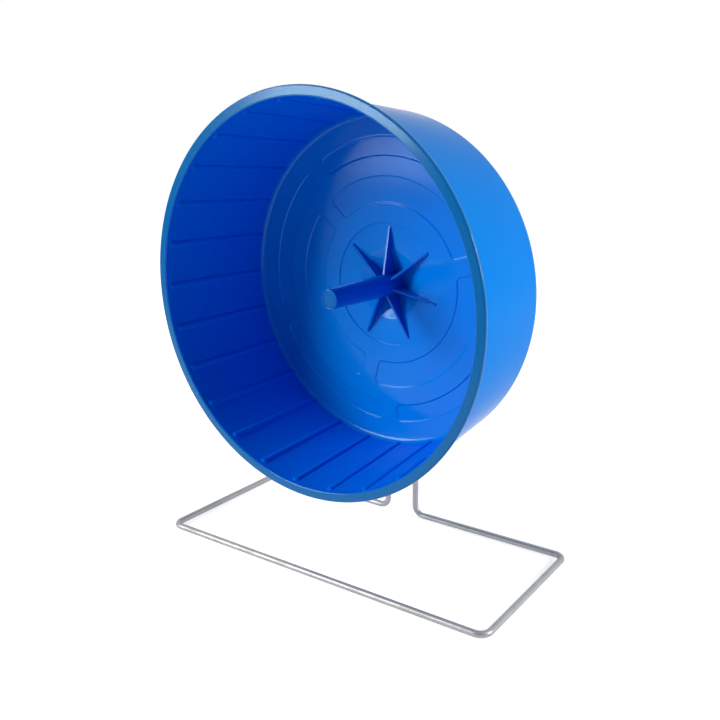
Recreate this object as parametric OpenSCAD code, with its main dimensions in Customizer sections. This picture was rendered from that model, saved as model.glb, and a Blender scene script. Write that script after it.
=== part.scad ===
// Rodent exercise wheel: a deep plastic drum that spins on a wire stand.
// The stand is one bent wire: a floor loop, two uprights and an arch, with an axle welded under the arch.
// The drum turns on that axle by a gusseted hub tube. A push-on ring under the hub's cap keeps it there.
// Origin: floor level, below the middle of the whole part. X to the right, Y to the back, Z up.

/* [Drum] */
// Outer radius of the lip at the mouth
rim_r = 140.8; // [132:0.2:160]
// Width of the lip, from the running surface out to its edge
lip_w = 7; // [4.5:0.5:9]
// Thickness of the lip, front to back
lip_t = 3; // [3:0.1:4]
// Radius that rounds the lip's outer edge
lip_edge_r = 1.4; // [0.6:0.1:1.4]
// Radius that rounds the lip's inner edge
lip_inner_r = 1.2; // [0.8:0.1:2.7]
// Depth at which the lip's collar meets the running wall
lip_collar = 6; // [5:0.5:10]
// Thickness of the running wall and of the disc
wall_t = 2.2; // [1.6:0.1:3]
// Slope of the running wall, narrower towards the back, in degrees
wall_taper = 4.5; // [1:0.5:6]
// Depth of the disc's front face where its slope would meet the axis
disc_depth = 105.4; // [90:0.2:120]
// Slope of the disc, deeper towards the middle, in degrees
disc_slope = 2.6; // [1:0.2:4]
// Slope of the disc's outer ring, which turns up to the running wall, in degrees
edge_slope = 8; // [5:0.5:14]
// Distance from the outer band of panels to that ring
edge_inset = 1.6; // [0.8:0.1:3]
// Inside radius of the corner between running wall and disc
corner_r = 4; // [2:0.5:8]

/* [Running surface ribs] */
// Number of cross ribs
rib_count = 26; // [12:1:40]
// Height of a rib above the running surface
rib_h = 1.3; // [1:0.1:2.4]
// Width of a rib
rib_w = 5.2; // [5:0.1:7]
// Distance from the mouth of the middle of a rib's round head
rib_front = 6; // [6:0.5:14]
// Height of a rib's round head above the rib
head_rise = 0.25; // [0.1:0.05:0.4]

/* [Disc relief] */
// Radius of the ring where the hub's dish begins
dish_r = 47.4; // [46:0.2:54]
// Radius of the ring inside the dish where it gets steeper
dish_mid_r = 27; // [18:0.5:34]
// Height of the step at the dish's edge
dish_step = 0.8; // [0.4:0.1:1.2]
// Depth of that ring below the dish's edge
dish_mid_drop = 1.6; // [0.8:0.1:3]
// Depth of the dish's foot at the hub below the dish's edge
dish_foot_drop = 7.5; // [5:0.5:9]
// Depth of the sunk panels below the disc
panel_depth = 0.7; // [0.4:0.1:1]
// Radius of the corners of a panel
panel_corner_r = 4; // [2:0.5:4]
// Inside radius of the inner band of panels
inner_band_r1 = 62; // [58:0.5:66]
// Outside radius of the inner band of panels
inner_band_r2 = 81.5; // [78:0.5:86]
// Number of panels in the inner band
inner_panel_count = 3; // [2:1:6]
// Angle of the middle of the first inner gap, clockwise from the top
inner_gap_angle = 74; // [0:1:120]
// Inside radius of the outer band of panels
outer_band_r1 = 96.2; // [92:0.2:98]
// Outside radius of the outer band of panels
outer_band_r2 = 109.4; // [107:0.2:111]
// Number of panels in the outer band
outer_panel_count = 5; // [3:1:8]
// Angle of the middle of the first outer gap, clockwise from the top
outer_gap_angle = 34.4; // [0:0.2:72]
// Gap between neighbouring panels
panel_gap = 14; // [8:0.5:20]

/* [Hub] */
// Distance of the hub's tip behind the mouth
hub_tip = 29.8; // [20:0.2:40]
// Outer radius of the hub tube at its tip
hub_tip_r = 7.2; // [7:0.1:8.4]
// Outer radius of the hub tube where it passes through the disc
hub_root_r = 8.8; // [8.6:0.1:10]
// Chamfer on the end of the hub tube
hub_chamfer = 0.5; // [0.2:0.1:0.6]
// Outer radius of the boss behind the disc
boss_r = 11.5; // [11:0.1:14]
// Length of the boss behind the disc
boss_len = 3.2; // [2.5:0.1:5]
// Number of gussets between hub tube and disc
gusset_count = 7; // [4:1:8]
// Thickness of a gusset
gusset_t = 2; // [1.5:0.1:3]
// Angle of the first gusset, clockwise from the top
gusset_angle = 1.5; // [0:0.5:50]
// Reach of a gusset from the axis
gusset_reach = 44.3; // [38:0.1:45]
// Height of a gusset on the hub tube, above the foot of the dish
gusset_h = 15; // [12:0.5:20]
// Height of a gusset at its outer end
gusset_tip_h = 0.9; // [0.6:0.1:1.5]
// Radius of the recess in the tip, for cap and push-on ring
recess_r = 6; // [5.8:0.1:6.2]
// Depth of that recess
recess_depth = 9; // [8.5:0.1:12]
// Length of each stretch of bore that runs on the axle
land_len = 12; // [6:0.5:20]
// Extra radius of the bore between those stretches
bore_relief = 0.7; // [0.3:0.1:1]

/* [Hub cap and axle fittings] */
// Thickness of the cap's face
cap_t = 1.4; // [1:0.1:1.8]
// Length of the cap's skirt behind its face
cap_skirt = 1.2; // [0.8:0.1:1.4]
// Thickness of the cap's skirt
cap_wall = 1; // [0.6:0.1:1.2]
// Distance of the cap's face behind the end of the tube
cap_inset = 0.3; // [0.1:0.1:0.6]
// Thickness of the front washer
washer_t = 1; // [0.8:0.1:1.2]
// Outer radius of the front washer
washer_r = 5.2; // [4.8:0.1:5.4]
// Thickness of the push-on ring
ring_t = 0.8; // [0.6:0.1:1]
// Outer radius of the push-on ring
ring_r = 4.9; // [4.6:0.1:5.2]
// Number of gripping tabs of the push-on ring
ring_tabs = 6; // [4:1:8]
// Width of the slots between those tabs
ring_slot = 0.6; // [0.4:0.1:0.8]
// Radial width of the push-on ring outside its slots
ring_band = 0.8; // [0.5:0.1:1]
// Length of axle that stands out of the push-on ring
axle_end = 1.2; // [0.8:0.1:1.6]
// Outer radius of the spacer between boss and arch
spacer_r = 6; // [5:0.1:8]
// Length of the spacer between boss and arch
spacer_len = 2.9; // [2:0.1:12]

/* [Stand] */
// Diameter of the stand's wire
wire_d = 5; // [4:0.1:6]
// Diameter of the axle rod
axle_d = 6; // [5:0.1:6.4]
// Chamfer on the ends of the axle rod
axle_chamfer = 0.5; // [0.2:0.1:0.7]
// Width of the floor loop, wire centre to wire centre
loop_w = 293; // [240:1:330]
// Centreline radius of the wire's bends
bend_r = 8; // [6:0.5:14]
// Gap between the drum and the floor
floor_gap = 60.7; // [30:0.1:90]
// Sideways place of the axle from the middle of the floor loop
axle_x = -4.5; // [-10:0.5:10]
// Distance between the uprights, wire centre to wire centre
upright_gap = 28; // [24:0.5:36]
// Distance of the drum's mouth behind the front wire's centre
mouth_setback = 6.3; // [3:0.1:12]
// Length of the axle behind the arch
axle_tail = 3; // [3:0.5:6]
// Radius of the weld fillet behind the arch
weld_r = 2.2; // [1.8:0.1:2.6]
// Angle of the weld fillet about the axle
weld_turn = 110; // [60:5:140]

/* [Clearances] */
// Radial clearance of the axle in the hub's bore
running_fit = 0.08; // [0.05:0.01:0.1]
// Radial clearance of washer and spacer on the axle
washer_fit = 0.2; // [0.1:0.05:0.4]
// Clearance between pieces that are fitted, moulded or welded to each other
seat_gap = 0.08; // [0.05:0.01:0.15]
// Clearance of the weld fillet on axle and arch
weld_gap = 0.2; // [0.1:0.05:0.3]
// End play of the hub, at the washer and at the spacer
end_play = 0.3; // [0.2:0.05:0.6]

/* [Hidden] */
$fn = 96;

drum_blue = [0.02, 0.39, 0.86];
wire_grey = [0.68, 0.69, 0.71];
steel_grey = [0.78, 0.79, 0.80];
nylon_white = [0.90, 0.90, 0.88];

// Depths run from the drum's mouth to the back. Angles run clockwise from the top, seen from the front.
mouth_r = rim_r - lip_w;
wall_tan = tan(wall_taper);
slope_tan = tan(disc_slope);
function wall_at(z) = mouth_r - z * wall_tan;
function disc_at(r) = disc_depth - r * slope_tan;

// Outside its panels the disc turns up into a steeper ring
edge_tan = tan(edge_slope);
edge_r = outer_band_r2 + edge_inset;
edge_depth = disc_at(edge_r) + edge_r * edge_tan;

// The corner's centre lies one corner radius inside the wall's line and the ring's line
corner_inset_r = corner_r / cos(wall_taper);
corner_inset_z = corner_r / cos(edge_slope);
corner_x = (mouth_r - corner_inset_r - wall_tan * (edge_depth - corner_inset_z)) / (1 - wall_tan * edge_tan);
corner_z = edge_depth - corner_x * edge_tan - corner_inset_z;
wall_end = corner_z + corner_r * sin(wall_taper);

// A rib's back is part of a cylinder, whose axis runs outside the running surface
rib_round = (rib_w * rib_w / 4 + rib_h * rib_h) / (2 * rib_h);
rib_len = (wall_end - rib_front) / cos(wall_taper);

// The dish steps back at its edge, then falls in two slopes to its foot at the hub
dish_edge_z = disc_at(dish_r) + dish_step;
dish_mid_z = dish_edge_z + dish_mid_drop;
dish_foot_z = dish_edge_z + dish_foot_drop;
function between(x, x1, y1, x2, y2) = y1 + (x - x1) * (y2 - y1) / (x2 - x1);
function dish_at(r) = r > dish_mid_r
    ? between(r, dish_mid_r, dish_mid_z, dish_r, dish_edge_z)
    : between(r, hub_root_r, dish_foot_z, dish_mid_r, dish_mid_z);
function tube_at(z) = between(z, hub_tip, hub_tip_r, dish_foot_z, hub_root_r);

boss_front_z = dish_foot_z + wall_t + seat_gap;
boss_back_z = boss_front_z + boss_len;
axle_r = axle_d / 2;
wire_r = wire_d / 2;
bore_r = axle_r + running_fit;
shoulder_z = hub_tip + recess_depth;
washer_z = shoulder_z - end_play - washer_t;
ring_z = washer_z - ring_t;
axle_front_z = ring_z - axle_end;
spacer_z = boss_back_z + end_play;
arch_depth = spacer_z + spacer_len + seat_gap + wire_r;
axle_back_z = arch_depth + wire_r + axle_tail;

axle_h = rim_r + floor_gap;
loop_d = mouth_setback + arch_depth;
front_y = -(loop_d + axle_tail) / 2;
back_y = front_y + loop_d;
mouth_y = front_y + mouth_setback;
left_x = -loop_w / 2;
right_x = loop_w / 2;
left_upright_x = axle_x - upright_gap / 2;
right_upright_x = axle_x + upright_gap / 2;
arch_r = upright_gap / 2;
arch_rise = axle_r + seat_gap + wire_r - arch_r;
bend_z = wire_r + bend_r;

// Puts what is drawn about the Z axis onto the axle, with depth running to the back
module on_axle() {
    translate([axle_x, mouth_y, axle_h]) rotate([-90, 0, 0]) children();
}

// Turns a piece from the X axis to an angle clockwise from the top
module at_angle(a) {
    rotate([0, 0, a - 90]) children();
}

// Outline of the drum's inside, grown outwards by g
module cavity_outline(g) {
    r = corner_r + g;
    wall_x = corner_x + r * cos(wall_taper);
    wall_z = corner_z + r * sin(wall_taper);
    turn_x = edge_r + g * (1 / cos(edge_slope) - 1 / cos(disc_slope)) / (edge_tan - slope_tan);
    turn_z = disc_at(turn_x) + g / cos(disc_slope);
    polygon([
        [0, 0],
        [wall_x + wall_z * wall_tan, 0],
        [wall_x, wall_z],
        [corner_x + r * sin(edge_slope), corner_z + r * cos(edge_slope)],
        [turn_x, turn_z],
        [0, turn_z + turn_x * slope_tan]
    ]);
    translate([corner_x, corner_z]) circle(r);
}

// Section of the drum's plain shell from depth z1 to depth z2, outside radius r1
module shell_section(z1, z2, r1) {
    intersection() {
        difference() {
            cavity_outline(wall_t);
            cavity_outline(0);
        }
        translate([r1, z1]) square([rim_r, z2 - z1]);
    }
}

module rim_lip() color(drum_blue) on_axle() rotate_extrude() {
    inner = wall_at(lip_inner_r);
    outer = rim_r - lip_edge_r;
    shell_section(lip_inner_r, lip_collar, 0);
    difference() {
        translate([inner, 0]) square([outer - inner, lip_t]);
        translate([inner - 1, -1]) square([lip_inner_r + 1, lip_inner_r + 1]);
    }
    intersection() {
        translate([inner + lip_inner_r, lip_inner_r]) circle(lip_inner_r);
        translate([inner, 0]) square(lip_inner_r);
    }
    translate([inner + lip_inner_r, lip_edge_r])
        square([rim_r - inner - lip_inner_r, lip_t - 2 * lip_edge_r]);
    translate([outer, lip_edge_r]) circle(lip_edge_r);
    translate([outer, lip_t - lip_edge_r]) circle(lip_edge_r);
}

module tread_wall() color(drum_blue) on_axle() rotate_extrude() shell_section(lip_collar, wall_end, 0);

// One low cross rib with a round head at its front end, cut off at the running surface
module cross_rib() translate([wall_at(rib_front), 0, rib_front]) rotate([0, -wall_taper, 0]) {
    reach = 2 * rib_round;
    intersection() {
        translate([rib_round - rib_h, 0, 0]) {
            cylinder(h = rib_len, r = rib_round);
            sphere(rib_round + head_rise);
        }
        translate([-reach, -reach, -reach]) cube([reach - seat_gap, 2 * reach, reach + rib_len]);
    }
}

module tread_ribs() color(drum_blue) on_axle() {
    for (i = [0 : rib_count - 1]) at_angle((i + 0.5) * 360 / rib_count) cross_rib();
}

// Outline of the gap between two panels along X, with their rounded corners, for a band from r1 to r2
module gap_outline(r1, r2) {
    c = panel_corner_r;
    side = panel_gap / 2 + c;
    inner = sqrt(r1 * r1 - side * side) + c;
    outer = sqrt(r2 * r2 - side * side) - c;
    half = [
        [inner - 1.5 * c, side + c / 2],
        for (t = [60 : -20 : 0]) [inner - c * sin(t), side - c * cos(t)],
        for (t = [0 : 20 : 60]) [outer + c * sin(t), side - c * cos(t)],
        [outer + 1.5 * c, side + c / 2]
    ];
    polygon(half);
    mirror([0, 1]) polygon(half);
    translate([inner - 1.5 * c, -side + c]) square([outer - inner + 3 * c, 2 * (side - c)]);
}

// What is cut out of the disc for a ring of panels, with the middle of the first gap at first_gap
module panel_band(r1, r2, count, first_gap) {
    difference() {
        rotate_extrude() polygon([
            [r1, disc_at(r1) - panel_depth],
            [r2, disc_at(r2) - panel_depth],
            [r2, disc_at(r2) + panel_depth],
            [r1, disc_at(r1) + panel_depth]
        ]);
        for (i = [0 : count - 1]) at_angle(first_gap + i * 360 / count)
            linear_extrude(2 * disc_depth) gap_outline(r1, r2);
    }
}

module back_disc() color(drum_blue) on_axle() difference() {
    hole_r = hub_root_r + seat_gap;
    lap_r = dish_r + wall_t;
    rotate_extrude() {
        shell_section(wall_end, 2 * disc_depth, dish_r);
        polygon([
            [hole_r, dish_at(hole_r)],
            [dish_mid_r, dish_mid_z],
            [dish_r, dish_edge_z],
            [lap_r, dish_edge_z],
            [lap_r, disc_at(lap_r) + wall_t],
            [dish_r, dish_edge_z + wall_t],
            [dish_mid_r, dish_mid_z + wall_t],
            [hole_r, dish_at(hole_r) + wall_t]
        ]);
    }
    panel_band(inner_band_r1, inner_band_r2, inner_panel_count, inner_gap_angle);
    panel_band(outer_band_r1, outer_band_r2, outer_panel_count, outer_gap_angle);
}

module hub_tube() color(drum_blue) on_axle() rotate_extrude() polygon([
    [recess_r, hub_tip],
    [hub_tip_r - hub_chamfer, hub_tip],
    [tube_at(hub_tip + hub_chamfer), hub_tip + hub_chamfer],
    [hub_root_r, dish_foot_z],
    [hub_root_r, boss_front_z],
    [boss_r, boss_front_z],
    [boss_r, boss_back_z],
    [bore_r, boss_back_z],
    [bore_r, boss_back_z - land_len],
    [bore_r + bore_relief, boss_back_z - land_len - bore_relief],
    [bore_r + bore_relief, shoulder_z + land_len + bore_relief],
    [bore_r, shoulder_z + land_len],
    [bore_r, shoulder_z],
    [recess_r, shoulder_z]
]);

module hub_gussets() color(drum_blue) on_axle() {
    top_z = dish_foot_z - gusset_h;
    foot_r = hub_root_r + seat_gap;
    for (i = [0 : gusset_count - 1]) at_angle(gusset_angle + i * 360 / gusset_count)
        rotate([90, 0, 0]) translate([0, 0, -gusset_t / 2]) linear_extrude(gusset_t) polygon([
            [tube_at(top_z) + seat_gap, top_z],
            [gusset_reach, dish_at(gusset_reach) - gusset_tip_h],
            [gusset_reach, dish_at(gusset_reach) - seat_gap],
            [dish_mid_r, dish_mid_z - seat_gap],
            [foot_r, dish_at(foot_r) - seat_gap]
        ]);
}

module hub_end_cap() color(drum_blue) on_axle() rotate_extrude() {
    outer = recess_r - seat_gap;
    translate([0, hub_tip + cap_inset]) square([outer, cap_t]);
    translate([outer - cap_wall, hub_tip + cap_inset]) square([cap_wall, cap_t + cap_skirt]);
}

module axle_rod() color(steel_grey) on_axle() rotate_extrude() polygon([
    [0, axle_front_z],
    [axle_r - axle_chamfer, axle_front_z],
    [axle_r, axle_front_z + axle_chamfer],
    [axle_r, axle_back_z - axle_chamfer],
    [axle_r - axle_chamfer, axle_back_z],
    [0, axle_back_z]
]);

// A flat ring on the axle from depth z, of thickness t
module axle_ring(z, t, inner, outer) {
    translate([0, 0, z]) difference() {
        cylinder(h = t, r = outer);
        translate([0, 0, -1]) cylinder(h = t + 2, r = inner);
    }
}

module front_washer() color(steel_grey) on_axle()
    axle_ring(washer_z, washer_t, axle_r + washer_fit, washer_r);

module push_on_ring() color(steel_grey) on_axle() difference() {
    axle_ring(ring_z, ring_t, axle_r + seat_gap, ring_r);
    for (i = [0 : ring_tabs - 1]) rotate([0, 0, i * 360 / ring_tabs])
        translate([0, -ring_slot / 2, ring_z - 1]) cube([ring_r - ring_band, ring_slot, ring_t + 2]);
}

module rear_spacer() color(nylon_white) on_axle()
    axle_ring(spacer_z, spacer_len, axle_r + washer_fit, spacer_r);

// Fillet of weld metal behind the arch, over the top of the axle
module axle_weld() color(steel_grey) on_axle() translate([0, 0, arch_depth + wire_r + weld_gap])
    at_angle(-weld_turn / 2) rotate_extrude(angle = weld_turn) translate([axle_r + weld_gap, 0])
        intersection() {
            circle(weld_r);
            square(weld_r);
        }

// A straight stretch of wire along X from x1 to x2
module wire_x(x1, x2, y) {
    translate([x1, y, wire_r]) rotate([0, 90, 0]) cylinder(h = x2 - x1, r = wire_r);
}

// A straight side of the floor loop
module wire_y(x) {
    translate([x, back_y - bend_r, wire_r]) rotate([90, 0, 0]) cylinder(h = loop_d - 2 * bend_r, r = wire_r);
}

// A quarter bend in the XY plane about its own centre, from angle a to a + 90
module bend(a) {
    rotate([0, 0, a]) rotate_extrude(angle = 90) translate([bend_r, 0]) circle(wire_r);
}

// A bend from the floor loop up into an upright, which stands on the bend's inner side
module foot_bend(x, a) {
    translate([x, back_y, bend_z]) rotate([90, 0, 0]) bend(a);
}

module upright(x) {
    translate([x, back_y, bend_z]) cylinder(h = axle_h + arch_rise - bend_z, r = wire_r);
}

module front_wire() color(wire_grey) wire_x(left_x + bend_r, right_x - bend_r, front_y);

module left_side_wire() color(wire_grey) wire_y(left_x);

module right_side_wire() color(wire_grey) wire_y(right_x);

module back_left_wire() color(wire_grey) wire_x(left_x + bend_r, left_upright_x - bend_r, back_y);

module back_right_wire() color(wire_grey) wire_x(right_upright_x + bend_r, right_x - bend_r, back_y);

module front_left_bend() color(wire_grey) translate([left_x + bend_r, front_y + bend_r, wire_r]) bend(180);

module front_right_bend() color(wire_grey) translate([right_x - bend_r, front_y + bend_r, wire_r]) bend(270);

module back_left_bend() color(wire_grey) translate([left_x + bend_r, back_y - bend_r, wire_r]) bend(90);

module back_right_bend() color(wire_grey) translate([right_x - bend_r, back_y - bend_r, wire_r]) bend(0);

module left_foot_bend() color(wire_grey) foot_bend(left_upright_x - bend_r, 270);

module right_foot_bend() color(wire_grey) foot_bend(right_upright_x + bend_r, 180);

module left_upright() color(wire_grey) upright(left_upright_x);

module right_upright() color(wire_grey) upright(right_upright_x);

module top_arch() color(wire_grey) translate([axle_x, back_y, axle_h + arch_rise]) rotate([90, 0, 0])
    rotate_extrude(angle = 180) translate([arch_r, 0]) circle(wire_r);

rim_lip();
tread_wall();
tread_ribs();
back_disc();
hub_tube();
hub_gussets();
hub_end_cap();
axle_rod();
front_washer();
push_on_ring();
rear_spacer();
axle_weld();
front_wire();
left_side_wire();
right_side_wire();
back_left_wire();
back_right_wire();
front_left_bend();
front_right_bend();
back_left_bend();
back_right_bend();
left_foot_bend();
right_foot_bend();
left_upright();
right_upright();
top_arch();
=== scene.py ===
"""Dresses the rodent exercise wheel: a moulded drum that spins on a wire stand.

Lengths are in metres in the frame of the solids: X to the right, Y from the drum's mouth to its
back, Z up, with the floor at Z = 0. Each sub-assembly is a class that holds its sizes, builds its
meshes with bmesh operators and dresses them. The sizes repeat those of the solids, because this
script reads nothing from disk but the frame.
"""

import logging
import math
from collections.abc import Iterable, Sequence
from dataclasses import dataclass
from enum import Enum
from typing import NamedTuple

import bmesh
import bpy
from mathutils import Matrix, Vector


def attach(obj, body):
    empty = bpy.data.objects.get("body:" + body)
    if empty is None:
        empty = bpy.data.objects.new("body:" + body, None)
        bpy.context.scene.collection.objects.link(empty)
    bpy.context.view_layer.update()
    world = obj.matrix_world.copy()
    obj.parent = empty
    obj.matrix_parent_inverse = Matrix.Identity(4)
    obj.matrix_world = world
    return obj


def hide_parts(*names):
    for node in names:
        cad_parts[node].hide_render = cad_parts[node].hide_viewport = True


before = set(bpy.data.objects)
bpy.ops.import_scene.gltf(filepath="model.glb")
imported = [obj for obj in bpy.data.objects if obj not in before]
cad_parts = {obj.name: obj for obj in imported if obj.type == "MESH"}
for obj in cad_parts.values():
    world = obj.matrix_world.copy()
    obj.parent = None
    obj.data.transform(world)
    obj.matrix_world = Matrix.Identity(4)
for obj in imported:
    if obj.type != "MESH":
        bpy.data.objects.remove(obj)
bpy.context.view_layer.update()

LOG = logging.getLogger("exercise_wheel")
MM = 0.001
TURN = 2.0 * math.pi
MERGE = 1e-7  # metres within which points are joined
NEAR = 1e-3  # millimetres within which a point counts as a corner's
SHARP_FROM = 38.0  # degrees between faces from which an edge is drawn sharp
ROUND_STEP = 14.0  # degrees that one face of a rounded corner takes up
ROUND_STEPS = (2, 10)  # fewest and most faces of a rounded corner

Colour = tuple[float, float, float]
Point = tuple[float, float, float]
Socket = bpy.types.NodeSocket
Material = bpy.types.Material
Mesh = bmesh.types.BMesh
Edge = bmesh.types.BMEdge
Vert = bmesh.types.BMVert

Source = Socket | float | Sequence[float]

WHITE: Colour = (1.0, 1.0, 1.0)
UP: Point = (0.0, 0.0, 1.0)
BACK: Point = (0.0, 1.0, 0.0)
NOWHERE: Point = (0.0, 0.0, 0.0)


class Body(Enum):
    """The rigid bodies that pieces ride on."""

    WHEEL = "wheel"
    STAND = "stand"


class Slot(Enum):
    """The record's material slots."""

    DRUM = "drum_plastic"
    WIRE = "stand_wire"


@dataclass(frozen=True)
class Noise:
    """A noise pattern: features per metre, octaves, and the weight of the finer octaves."""

    scale: float
    detail: float
    roughness: float = 0.5


class Span(NamedTuple):
    """A range of a value, from low to high, and the range that it is mapped onto."""

    low: float
    high: float
    out_low: float
    out_high: float


class Graph:
    """A node tree, with short calls for the nodes that the finishes and the studio use."""

    def __init__(self, tree: bpy.types.NodeTree) -> None:
        """Holds the tree that the calls work on."""
        self.tree = tree

    def feed(self, target: Socket, source: Source) -> None:
        """Joins a socket to an input, or gives the input a value of its own.

        Args:
            target: The input.
            source: A socket, a number, a vector, or a colour without its alpha.
        """
        if isinstance(source, Socket):
            self.tree.links.new(source, target)
        else:
            target.default_value = (*source, 1.0) if target.type == "RGBA" else source

    def node(self, kind: str, *values: Source, **named: Source) -> bpy.types.Node:
        """Adds a node.

        Args:
            kind: The node's kind.
            values: What feeds its first inputs.
            named: What feeds inputs by their names.

        Returns:
            The node.
        """
        node = self.tree.nodes.new(kind)
        for key, source in [*enumerate(values), *named.items()]:
            self.feed(node.inputs[key], source)
        return node

    def maths(self, operation: str, first: Source, second: Source = NOWHERE, vectors: bool = False) -> Socket:
        """Gives the result of a math operation.

        Args:
            operation: The operation.
            first: The first value.
            second: The second value.
            vectors: True if the values are vectors.

        Returns:
            The result, which is a number for a vector's length.
        """
        node = self.node("ShaderNodeVectorMath" if vectors else "ShaderNodeMath", first, second)
        node.operation = operation
        return node.outputs["Value" if operation == "LENGTH" else 0]

    def ranged(self, source: Socket, span: Span) -> Socket:
        """Maps a range of a value onto another range, with clamping."""
        return self.node("ShaderNodeMapRange", source, *span).outputs["Result"]

    def mixed(self, factor: Socket, first: Source, second: Source) -> Socket:
        """Mixes two colours.

        Args:
            factor: The share of the second colour.
            first: A colour or a socket.
            second: A colour or a socket.

        Returns:
            The mixed colour.
        """
        node = self.tree.nodes.new("ShaderNodeMix")
        node.data_type = "RGBA"
        for place, source in ((0, factor), (6, first), (7, second)):
            self.feed(node.inputs[place], source)
        return node.outputs[2]


class Shader(Graph):
    """A material's node tree round one Principled shader."""

    def __init__(self, name: str) -> None:
        """Starts an empty material with a Principled shader.

        Args:
            name: The material's name.
        """
        self.material = bpy.data.materials.new(name)
        self.material.use_nodes = True
        super().__init__(self.material.node_tree)
        self.tree.nodes.clear()
        self.surface = self.node("ShaderNodeBsdfPrincipled")
        self.node("ShaderNodeOutputMaterial", self.surface.outputs["BSDF"])
        self.position = self.node("ShaderNodeTexCoord").outputs["Object"]

    def give(self, name: str, source: Source) -> None:
        """Feeds one of the shader's own sockets."""
        self.feed(self.surface.inputs[name], source)

    def mapped(self, centre: Point, scale: Point) -> Socket:
        """Gives object coordinates about a centre, scaled along X, Y and Z."""
        return self.maths("MULTIPLY", self.maths("SUBTRACT", self.position, centre, True), scale, True)

    def noise(self, pattern: Noise, where: Socket | None = None) -> Socket:
        """Gives a noise pattern from 0 to 1.

        Args:
            pattern: The noise's settings.
            where: Coordinates to read, or object coordinates when left out.

        Returns:
            The noise's factor.
        """
        return self.node(
            "ShaderNodeTexNoise", Vector=where or self.position, Scale=pattern.scale,
            Detail=pattern.detail, Roughness=pattern.roughness,
        ).outputs["Fac"]

    def bumped(self, height: Socket, strength: float, distance: float) -> None:
        """Gives the shader a bump, after any bump it has.

        Args:
            height: The bump's pattern.
            strength: Share of the bump that is shown.
            distance: Height of the bump in metres.
        """
        node = self.node("ShaderNodeBump", Strength=strength, Distance=distance, Height=height)
        normal = self.surface.inputs["Normal"]
        if normal.links:
            self.feed(node.inputs["Normal"], normal.links[0].from_socket)
        self.feed(normal, node.outputs["Normal"])


@dataclass(frozen=True)
class MouldedPlastic:
    """Glossy injection-moulded plastic with faint draw lines and a slightly uneven gloss.

    inside is a deeper blue painted as shade over the inside of the running wall, whose middle is a
    cone: wall holds its radius at the mouth and the radius it loses for each metre of depth.
    """

    name: str
    colour: Colour
    deep_colour: Colour
    centre: Point
    roughness: float = 0.11
    specular: float = 0.24
    ior: float = 1.49
    sheen_tint: Colour = (0.7, 0.95, 1.0)
    subsurface: float = 0.0
    subsurface_radius: Colour = (0.2, 0.4, 1.0)
    subsurface_scale: float = 0.002
    clouds: Noise = Noise(14.0, 2.0)
    cloud_tone: Span = Span(0.3, 0.7, 0.0, 1.0)
    cloud_gloss: Span = Span(0.25, 0.75, -0.03, 0.03)
    speckle: Noise = Noise(900.0, 2.0, 0.6)
    speckle_tone: Span = Span(0.35, 0.65, 0.0, 0.10)
    lines: Noise = Noise(1.0, 3.0, 0.55)
    line_scale: Point = (260.0, 9.0, 260.0)
    line_gloss: Span = Span(0.3, 0.7, -0.015, 0.02)
    fine_grain: Noise = Noise(140.0, 2.0)
    grain: float = 0.03
    grain_depth: float = 0.0004
    warp: Noise = Noise(28.0, 1.0)
    warp_depth: float = 0.00012
    # painted shade inside the running wall: its colour, the wall's cone and the blur of its edge
    inside: Colour | None = None
    wall: tuple[float, float] = (0.0, 0.0)
    wall_blur: float = 2e-4

    def material(self) -> Material:
        """Builds the material.

        Returns:
            The finished material.
        """
        shader = Shader(self.name)
        clouds = shader.noise(self.clouds)
        speckle = shader.noise(self.speckle)
        lines = shader.noise(self.lines, shader.mapped(self.centre, self.line_scale))
        colour = shader.mixed(shader.ranged(clouds, self.cloud_tone), self.colour, self.deep_colour)
        colour = shader.mixed(shader.ranged(speckle, self.speckle_tone), colour, self.deep_colour)
        # painted shade: the inside of the running wall takes the deeper inside colour in place of the plain
        # one
        if self.inside:
            colour = shader.mixed(self._outside_of_painted_shade(shader), self.inside, colour)
        gloss = (shader.ranged(clouds, self.cloud_gloss), shader.ranged(lines, self.line_gloss))
        shader.give("Base Color", colour)
        shader.give("Roughness", shader.maths("ADD", shader.maths("ADD", *gloss), self.roughness))
        shader.give("Specular IOR Level", self.specular)
        shader.give("Specular Tint", self.sheen_tint)
        shader.give("IOR", self.ior)
        if self.subsurface > 0.0:
            shader.give("Subsurface Weight", self.subsurface)
            shader.give("Subsurface Radius", self.subsurface_radius)
            shader.give("Subsurface Scale", self.subsurface_scale)
        shader.bumped(shader.noise(self.fine_grain), self.grain, self.grain_depth)
        shader.bumped(shader.noise(self.warp), 1.0, self.warp_depth)
        return shader.material

    def _outside_of_painted_shade(self, shader: Shader) -> Socket:
        """Tells where a point lies, for the painted shade inside the running wall.

        Args:
            shader: The material's shader.

        Returns:
            1 outside the running wall's middle, where the plain colour stays, and 0 inside it, where the
            painted shade goes.
        """
        mouth_r, slope = self.wall
        radius = shader.maths("LENGTH", shader.mapped(self.centre, (1.0, 0.0, 1.0)), vectors=True)
        depth = shader.maths("LENGTH", shader.mapped(self.centre, BACK), vectors=True)
        at_mouth = shader.maths("ADD", radius, shader.maths("MULTIPLY", depth, slope))
        return shader.ranged(at_mouth, Span(mouth_r - self.wall_blur, mouth_r + self.wall_blur, 0.0, 1.0))


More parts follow.
